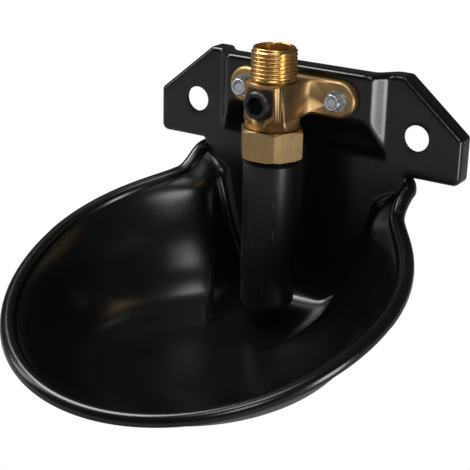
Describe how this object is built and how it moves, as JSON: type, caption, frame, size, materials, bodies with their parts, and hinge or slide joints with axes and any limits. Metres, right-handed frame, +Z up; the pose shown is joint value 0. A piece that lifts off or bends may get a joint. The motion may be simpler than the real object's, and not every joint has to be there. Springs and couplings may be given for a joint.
{
  "type": "livestock drinking bowl with tube valve",
  "caption": "Wall-mounted pressed-steel drinking bowl with a raised valve pad, a brass valve with pipe-threaded inlet, and a tilting tube that opens the water",
  "frame": {"origin": "on the wall plane, midway between the two wall holes and at their height", "axes": "+Z is up along the valve's axis, +Y points into the wall, the bowl stands out along -Y, X runs along the wall"},
  "size_m": [0.179, 0.1802, 0.1427],
  "materials": {
    "black_enamel": "gloss stoved black enamel with a faint orange peel",
    "cast_brass": "cast brass, bead blasted, threads and faces turned",
    "turned_brass": "turned and milled brass",
    "zinc_steel": "bright zinc plated",
    "stainless": "stainless, drawn",
    "black_tube": "satin black moulded plastic with a fine grain",
    "black_polyamide": "semi-gloss black moulded polyamide",
    "white_polymer": "natural acetal",
    "nylon": "natural nylon",
    "rubber": "black nitrile rubber"
  },
  "bodies": {
    "root": {"bowl_pressing": "black_enamel", "valve_body": "cast_brass", "inlet_strainer": "stainless", "strainer_ring": "stainless", "valve_seat": "turned_brass", "valve_spring": "stainless", "union_nut": "turned_brass", "tube_gasket": "rubber", "flange_screws": "zinc_steel", "rear_washers": "zinc_steel", "front_washers": "zinc_steel", "flange_nuts": "zinc_steel", "nut_inserts": "nylon"},
    "ball_ring": {"slip_ring": "white_polymer"},
    "tube": {"drinking_tube": "black_tube"},
    "spindle": {"valve_spindle": "stainless", "valve_disc": "turned_brass", "valve_seal": "rubber"},
    "regulator": {"regulating_screw": "black_polyamide", "regulating_ring": "rubber"}
  },
  "joints": [
    {"name": "tube_tilt_forward", "type": "hinge", "parent": "root", "child": "ball_ring", "pos_m": [0, -0.0367, -0.0076], "axis": [1, 0, 0], "range_deg": [-4, 4], "stiffness_Nm_per_rad": 0.05},
    {"name": "tube_tilt_sideways", "type": "hinge", "parent": "ball_ring", "child": "tube", "pos_m": [0, -0.0367, -0.0076], "axis": [0, 1, 0], "range_deg": [-4, 4], "stiffness_Nm_per_rad": 0.05},
    {"name": "spindle_lift", "type": "slide", "parent": "root", "child": "spindle", "axis": [0, 0, 1], "range_m": [0, 0.0015], "stiffness_N_per_m": 300, "deforming": ["valve_spring"]},
    {"name": "regulator_turn", "type": "hinge", "parent": "root", "child": "regulator", "pos_m": [0, -0.0367, 0.0145], "axis": [0, 1, 0], "range_deg": [-360, 360]}
  ]
}
